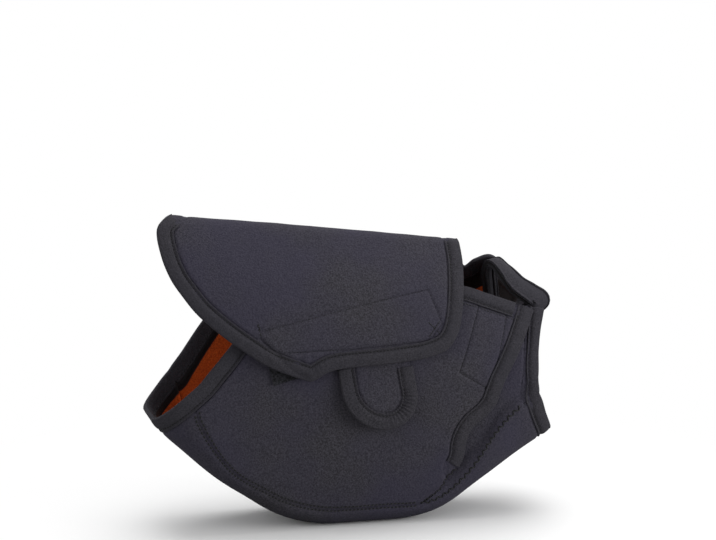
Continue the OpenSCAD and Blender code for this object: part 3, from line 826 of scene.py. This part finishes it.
def end_segment(end):
    """The path across one end of the gusset, from the near side to the far side."""
    def surface(p, into, w):
        g, m = gusset_at(np.full_like(gusset_w, abs(end - w / KEEL_LEN)), gusset_w)
        pick = np.linspace(0, len(gusset_w) - 1, len(p)).round().astype(int)
        return g[pick], m[pick]
    return (*gusset_at(np.full_like(gusset_w, end), gusset_w), surface)


def rear_leg(p, into, w):
    """Surface of the rear side panel beside its bound edge, from the top down."""
    down = np.linspace(1, 0, len(p))
    return rear_at(1 - w / np.interp(down, rear_v, rear_span), down)


def back(line):
    return line[0][::-1], line[1][::-1]


rows, inner_rows = {}, {}
flap_tape, rows["flap"], inner_rows["flap"] = tape(
    "flap_edge_tape",
    [(*flap_left_edge[0], by_arc(-1)), (*flap_left_edge[1], by_arc(1)), (*flap_low_edge[0], by_arc(1)),
     (*flap_right_edge[0], by_arc(1)), (*flap_right_edge[1], by_arc(-1))], 1, TAPE_W, 2 * HALF, 41,
    plump=1.15, dent=hook_crease[0] + 3.2 * hook_crease[1])
front_tape, rows["front"], inner_rows["front"] = tape(
    "front_opening_tape",
    [(*back(front_near_edge), by_xz(near_at)), end_segment(0), (*front_far_edge, by_xz(far_at))],
    1, TAPE_W, 2 * HALF, 42)
rear_tape, rows["rear"], inner_rows["rear"] = tape(
    "rear_opening_tape",
    [(*back(rear_edge), rear_leg), end_segment(1), (*rear_far_edge, by_xz(far_at))],
    -1, TAPE_W, 2 * HALF, 43)
hem_edge = near_at(track(TOP_NEAR, marks(140, 0.055, 0.91)))
hem_tape, rows["hem"], inner_rows["hem"] = tape(
    "top_hem_tape", [(*hem_edge, by_xz(near_at))], -1, TAPE_W, 2 * HALF, 44)
slit_tape, rows["slit"], inner_rows["slit"] = tape(
    "crank_slit_tape", [(*slit_edge, by_xz(near_at))], 1, TAPE_W, 2 * HALF, 45)
hole_tape, rows["hole"], inner_rows["hole"] = tape(
    "crank_hole_tape", [(hole_edge[0][:-1], hole_edge[1][:-1], by_xz(far_at))], 1, 7, 2 * HALF, 46,
    loop=True, sunk=lambda w: 0.0, thin=lambda w: 1.0)
# The tape is cut 30 mm wide, and 20 mm for the small hole; its length is that of the bound edge
for piece, node, cut in ((flap_tape, "flap_binding", (0.03, 0.61)),
                         (front_tape, "front_opening_binding", (0.03, 0.31)),
                         (rear_tape, "rear_opening_binding", (0.03, 0.3)),
                         (hem_tape, "top_edge_binding", (0.03, 0.2)),
                         (slit_tape, "crank_slit_binding", (0.03, 0.145)),
                         (hole_tape, "crank_hole_binding", (0.02, 0.126))):
    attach(piece, "root")
    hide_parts(node)

# Pull tab: a U of thinner laminate with the same tape round it. Its straight top is sewn under the
# edge of the flap, and its round end hangs a little away from the near panel.
TAB_W, TAB_L, TAB_T, TAB_BEAD = 64.0, 55.5, 2.2, 1.4
TAB_X, TAB_TOP, TAB_EDGE, TAB_LEAN, TAB_SKEW = 3.2, 151.0, 141.0, 9.0, 0.14
TAB_R = TAB_W / 2 - TAB_BEAD
TAB_CY = TAB_EDGE - TAB_L + TAB_BEAD + TAB_R
TAB_OFF = 3.15 + 0.3 + TAB_T / 2


def tab_at(xz):
    """Point and normal of the tab: under the flap down to its edge, and leaning out and back below."""
    held, n = cloth(np.stack([xz[..., 0], np.maximum(xz[..., 1], TAB_EDGE)], -1), 1, TAB_OFF)
    t = np.maximum(TAB_EDGE - xz[..., 1], 0) / TAB_L
    lean = TAB_LEAN * 6 * t * (1 - t) / TAB_L
    p = np.stack([xz[..., 0] + TAB_SKEW * TAB_L * t, held[..., 1] - TAB_LEAN * ease(t),
                  xz[..., 1] + HALF], -1)
    return p, unit(n + np.stack([0 * t, 0 * t, lean], -1))


def tab_leg(xz):
    """The same for a length that already has the skew in it."""
    return tab_at(np.stack([xz[..., 0] - TAB_SKEW * np.maximum(TAB_EDGE - xz[..., 1], 0), xz[..., 1]], -1))


def tab_arc(a):
    a = np.radians(a)
    return np.stack([TAB_X + TAB_R * np.cos(a), TAB_CY + TAB_R * np.sin(a)], -1)


def tab_side(sign):
    def side(v):
        v = np.asarray(v, float)
        round_part = tab_arc(np.where(sign < 0, mix(225, 180, v / 0.3), mix(-45, 0, v / 0.3)))
        line = np.stack([np.full_like(v, TAB_X + sign * TAB_R), mix(TAB_CY, TAB_TOP, (v - 0.3) / 0.7)], -1)
        return np.where((v < 0.3)[..., None], round_part, line)
    return side


def tab_xz(u, v):
    top = straight([TAB_X - TAB_R, TAB_TOP], [TAB_X + TAB_R, TAB_TOP])
    return patch(lambda t: tab_arc(mix(225, 315, t)), top, tab_side(-1), tab_side(1), u, v)


tab_path = np.concatenate([
    np.stack([np.full(26, TAB_X - TAB_R), np.linspace(TAB_EDGE - 5, TAB_CY, 26)], -1),
    tab_arc(np.linspace(180, 360, 150))[1:],
    np.stack([np.full(26, TAB_X + TAB_R), np.linspace(TAB_CY, TAB_EDGE - 5, 26)], -1)[1:]])
tab_edge = tab_at(tab_path)
u, v = np.meshgrid(marks(70), marks(80))
p, n = tab_at(tab_xz(u, v))
edge_d = closest(p, [tab_edge[0]])
p, n = raised(p, n, sink(edge_d) + 0.12 * soft(p, 14, 51))
tab = cloth_piece("pull_tab_cloth", p, n, TAB_T, [jersey, jersey, foam_edge], edge_d)


def tab_pucker(f):
    """The tape was pulled round the curve, so it puckers on both sides and most on the right."""
    return 0.2 + 0.6 * np.exp(-(((f - 0.78) / 0.14) ** 2)) + 0.3 * np.exp(-(((f - 0.25) / 0.12) ** 2))


tab_tape, rows["tab"], inner_rows["tab"] = tape(
    "pull_tab_tape", [(*tab_edge, by_xz(tab_leg))], 1, TAPE_W, TAB_T, 52, ribs=True, pucker=tab_pucker)
for piece, node, finish, cut in ((tab, "pull_tab", "jersey_cloth", (0.061, 0.064)),
                                 (tab_tape, "pull_tab_binding", "edge_tape", (0.03, 0.125))):
    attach(piece, "root")
    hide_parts(node)

# Rear strap: a short band over the rear opening, rolled over at its near end and sewn inside both
# sides. It is bound with the same tape along both edges, so little of its cloth shows.
STRAP_LINE = [[134, 35, 148], [131, 29, 160], [126.5, 20, 175], [124, 16, 189], [121.2, 11, 204],
              [123.4, 4, 211.6], [130.2, -3, 205], [140.2, -7, 193.2], [151.8, -9.5, 185],
              [160.5, -10, 178], [152.5, -10, 169.5], [145, -17, 160], [141, -26.5, 150]]
STRAP_W, STRAP_T = 21.0, 4.4


def strap_point(t):
    return track(STRAP_LINE, t) + np.array([0, 0, HALF])


def strap_at(t, side):
    """Point and normal at a fraction of the length, and across from -1 in front to 1 at the rear."""
    go = unit(strap_point(np.minimum(t + 0.01, 1)) - strap_point(np.maximum(t - 0.01, 0)))
    lie = mix(np.array([0.7, 0.75, 0.0]), np.array([1.0, 0.45, 0.15]), ease((t - 0.43) / 0.22)[..., None])
    across = unit(lie - go * (go * lie).sum(-1, keepdims=True))
    return strap_point(t) + across * (side * STRAP_W / 2)[..., None], np.cross(across, go)


def strap_segment(side):
    """The path along one edge of the strap."""
    def surface(p, into, w):
        return strap_at(np.linspace(0, 1, len(p)), np.full(len(p), side * (1 - w / (STRAP_W / 2))))
    t = marks(140)
    return (*strap_at(t, np.full_like(t, side)), surface)


u, v = np.meshgrid(marks(24), marks(140))
p, n = strap_at(v, 2 * u - 1)
p = p + n * (0.25 * soft(p, 12, 61) - 1.6 * np.sin(math.pi * u))[..., None]
strap = cloth_piece("rear_strap_cloth", p, n, STRAP_T, [tape_knit, tape_knit, foam_edge],
                    9.5 + STRAP_W / 2 * np.minimum(u, 1 - u))
for key, side, hand in (("strap_front", -1, 1), ("strap_rear", 1, -1)):
    piece, rows[key], inner_rows[key] = tape(
        key + "_tape", [strap_segment(side)], hand, 6, STRAP_T, 62 + side, plump=1.2,
        sunk=lambda w: 0.0, thin=lambda w: pinch(9.5 + w / 2))
    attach(piece, "root")
    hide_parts(key + "_binding")
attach(strap, "root")
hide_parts("rear_strap")

# Hook and loop patches: woven nylon tape with a dense black pile, sewn round its edge. The pair under
# the flap closes it, and the pair under the tongue closes the slit.
fuzz = knit("black nylon hook and loop pile", "#060607", "#3a3a40", "#131315", 0.3, 800.0, 0.002)


def quad(c, u, v):
    """Points between four corners."""
    c = np.array(c, float)
    u, v = u[..., None], v[..., None]
    return mix(mix(c[0], c[1], u), mix(c[3], c[2], u), v)


for name, node, corners, off, t, cut in (
        ("flap_hook_tape", "flap_hook_patch", [[-66, 152.5], [57, 161], [53, 193], [-90, 169]],
         3.05, 2.0, (0.13, 0.032)),
        ("body_loop_tape", "body_loop_patch", [[-82, 125.5], [58, 161], [50, 186], [-90, 158]],
         6.75, 1.6, (0.14, 0.032)),
        ("slit_hook_tape", "slit_hook_patch", [[78, 124], [98, 112], [119, 167], [98, 175]],
         12.2, 1.1, (0.059, 0.023)),
        ("slit_loop_tape", "slit_loop_patch", [[89, 126], [102, 118], [120, 166], [101, 173]],
         13.6, 1.1, (0.053, 0.017))):
    u, v = np.meshgrid(marks(120), marks(40))
    p, n = cloth(quad(corners, u, v), 1, off)
    rng = np.random.default_rng(len(name))
    p = p + n * (0.06 * rng.normal(size=p.shape[:2]))[..., None]
    piece = cloth_piece(name, p, n, t, [fuzz, fuzz, tape_knit])
    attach(piece, "root")
    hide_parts(node)

# Sewing threads: black polyester. A row holds each tape, two rows lie beside the seams of the gusset,
# a wide overlock closes the rear seam, and single rows show where the patches are sewn on. They are
# drawn two to four times as thick as the real 0.4 mm thread, so that the camera can see them.
thread = new_material("black polyester sewing thread")
place = add(thread, "ShaderNodeTexCoord").outputs["Object"]
twist = add(thread, "ShaderNodeTexNoise", {"Vector": place, "Scale": 2500.0, "Detail": 1.0})
shade = add(thread, "ShaderNodeMapRange", {"Value": twist.outputs["Fac"], "From Min": 0.35,
                                           "From Max": 0.65})
dye = add(thread, "ShaderNodeMix", {"Factor": shade.outputs["Result"], 6: lin("#050506"),
                                    7: lin("#131316")}, data_type="RGBA")
finish_material(thread, dye.outputs[2], twist.outputs["Fac"], 0.6, 0.1, "#ffffff", 0.0001)


def stitch_run(line, pitch, length, radius, lean=0.0):
    """Middle, direction and lift of each stitch along a line of points and normals."""
    p, n = line
    s = np.concatenate([[0], np.cumsum(np.linalg.norm(np.diff(p, axis=0), axis=1))])
    at = np.arange(pitch, s[-1] - pitch / 2, pitch)

    def look(q, t):
        return np.stack([np.interp(t, s, q[:, k]) for k in range(3)], -1)

    up, go = unit(look(n, at)), unit(look(p, at + 0.6) - look(p, at - 0.6))
    turn = np.where(np.arange(len(at)) % 2, lean, -lean)[:, None]
    return look(p, at), unit(go + turn * np.cross(up, go)), up, length, radius


def sew(name, runs):
    """One mesh of many stitches, each a short bar whose ends dive into the cloth."""
    angles = np.radians([90, 162, 234, 306, 18])
    verts = []
    for middle, way, up, length, radius in runs:
        side = np.cross(up, way)
        bar = []
        for x, r, drop in ((-0.5, 0.75, 0.4), (0, 1, 0), (0.5, 0.75, 0.4)):
            for a in angles:
                bar.append(middle + way * x * length + side * (r * radius * math.cos(a))
                           + up * (radius * (r * math.sin(a) - drop)))
        for x in (-1, 1):
            bar.append(middle + way * x * (length / 2 + 0.5 * radius) - up * radius)
        verts.append(np.stack(bar, 1).reshape(-1, 3))
    verts = np.concatenate(verts)
    quads = [(k, (k + 1) % 5, (k + 1) % 5 + 5, k + 5) for k in range(5)]
    quads += [tuple(i + 5 for i in q) for q in quads]
    ends = [(15, (k + 1) % 5, k) for k in range(5)] + [(16, 10 + k, 10 + (k + 1) % 5) for k in range(5)]
    faces = [tuple(i + base for i in f) for base in range(0, len(verts), 17) for f in quads + ends]
    obj = mesh_object(name, sag(verts), faces, [thread])
    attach(obj, "root")


def lifted(line, lift_of):
    """A line of points and normals, moved onto the outer face of the finished cloth."""
    p, n = line
    return p + n * (HALF + 0.12 + lift_of(p)[0])[:, None], n


# Each row has the spacing, length and thickness of its stitches, and how far they lean to and fro
sew("tape_threads", [stitch_run(row, 3.0, 2.1, 0.5) for row in rows.values()])
sew("inside_tape_threads", [stitch_run(inner_rows[key], 3.0, 2.1, 0.4)
                            for key in ("flap", "front", "rear", "hole")])

DOUBLE_ROW = (3.3, 2.2, 0.78)
front_run, rear_run = np.linspace(0.035, 0.65, 300), np.linspace(0.665, 0.965, 160)
whole_run = np.linspace(0.035, 0.965, 460)
sew("seam_threads", [
    stitch_run(lifted(near_at(seam(front_run, 2.3)), near_lift), *DOUBLE_ROW),
    stitch_run(lifted(gusset_at(front_run, np.full_like(front_run, 0.017)), gusset_lift), *DOUBLE_ROW),
    stitch_run(lifted(far_at(seam(whole_run, 2.3)), far_lift), *DOUBLE_ROW),
    stitch_run(lifted(gusset_at(whole_run, np.full_like(whole_run, 0.983)), gusset_lift), *DOUBLE_ROW),
    stitch_run(lifted(near_at(seam(rear_run, 0.6)), rear_lift), 3.0, 3.9, 0.75, 1.2),
    stitch_run(lifted(butt_edge, near_lift), 2.8, 3.2, 0.6, 1.0)])

# The hook patch is held by a row all round, a cross at its rear end and a bar at its front end
hem_second = near_at(track(TOP_NEAR, np.linspace(0.6, 0.9, 60)) - np.array([0, 13.6]))
sew("patch_threads", [
    stitch_run(lifted(hook_stitch, far_lift), 2.8, 2.1, 0.42),
    stitch_run(lifted(polyline([[49, 172], [61, 160]], flap_at), far_lift), 2.2, 1.8, 0.45),
    stitch_run(lifted(polyline([[61, 173], [49, 159]], flap_at), far_lift), 2.2, 1.8, 0.45),
    stitch_run(lifted(polyline([[-95, 178], [-92, 166]], flap_at), far_lift), 1.9, 2.4, 0.45, 0.9),
    stitch_run(lifted(patch_stitch, near_lift), 3.1, 2.2, 0.66),
    stitch_run(lifted(hem_second, near_lift), 2.8, 2.0, 0.45)])

# Stage: a pale floor and plain soft light, and the camera at the photograph's angle.
# The floor is white to the camera and grey to the lamps, so that little light comes up from below.
floor_paint = new_material("matt white studio floor")
spot = add(floor_paint, "ShaderNodeTexCoord").outputs["Object"]
reach = add(floor_paint, "ShaderNodeVectorMath", {0: spot}, operation="LENGTH").outputs["Value"]
fade = add(floor_paint, "ShaderNodeMapRange", {"Value": reach, "From Min": 0.16, "From Max": 0.42})
seen = add(floor_paint, "ShaderNodeLightPath").outputs["Is Camera Ray"]
paint = add(floor_paint, "ShaderNodeMix", {"Factor": seen, 6: lin("#a8a8a8"), 7: lin("#fafafa")},
            data_type="RGBA")
matt = add(floor_paint, "ShaderNodeBsdfDiffuse", {"Color": paint.outputs[2]}).outputs["BSDF"]
glow = add(floor_paint, "ShaderNodeEmission", {"Color": lin("#ffffff"), "Strength": 1.0}).outputs[0]
blend = add(floor_paint, "ShaderNodeMath", {0: fade.outputs["Result"], 1: seen},
            operation="MULTIPLY").outputs[0]
surface = add(floor_paint, "ShaderNodeMixShader", {0: blend, 1: matt, 2: glow}).outputs[0]
add(floor_paint, "ShaderNodeOutputMaterial", {"Surface": surface})
bpy.ops.object.select_all(action="DESELECT")
bpy.ops.mesh.primitive_circle_add(vertices=96, radius=6, fill_type="NGON", location=(0, 0, 0))
floor = bpy.context.object
floor.name = "studio_floor"
floor.data.materials.append(floor_paint)

world = bpy.data.worlds.new("soft white room")
world.use_nodes = True
bpy.context.scene.world = world
world.node_tree.nodes.clear()
to_camera = add(world, "ShaderNodeLightPath").outputs["Is Camera Ray"]
room = add(world, "ShaderNodeBackground", {"Color": lin("#ffffff"), "Strength": 0.5}).outputs[0]
backdrop = add(world, "ShaderNodeBackground", {"Color": lin("#ffffff"), "Strength": 1.0}).outputs[0]
choose = add(world, "ShaderNodeMixShader", {0: to_camera, 1: room, 2: backdrop}).outputs[0]
add(world, "ShaderNodeOutputWorld", {"Surface": choose})


def lamp(name, place, aim, size, watts):
    data = bpy.data.lights.new(name, "AREA")
    data.shape, data.size, data.energy = "DISK", size, watts
    obj = bpy.data.objects.new(name, data)
    obj.location = place
    obj.rotation_euler = (Vector(aim) - Vector(place)).to_track_quat("-Z", "Y").to_euler()
    bpy.context.scene.collection.objects.link(obj)


lamp("left softbox", (-1.6, -1.2, 0.7), (0, 0, 0.12), 1.6, 8.4)
lamp("right softbox", (1.05, -0.7, 0.22), (0.08, 0, 0.1), 0.9, 12.5)
lamp("top softbox", (0.15, 0.35, 1.6), (0, 0, 0.12), 1.8, 19)

camera_data = bpy.data.cameras.new("camera")
camera_data.lens, camera_data.sensor_width = 100, 36
camera = bpy.data.objects.new("camera", camera_data)
bpy.context.scene.collection.objects.link(camera)
camera.location = (-0.4079, -1.6040, 0.4794)
camera.rotation_euler = Vector((0.2442, 0.9565, -0.1595)).to_track_quat("-Z", "Y").to_euler()
bpy.context.scene.camera = camera
bpy.context.scene.view_settings.view_transform = "Standard"
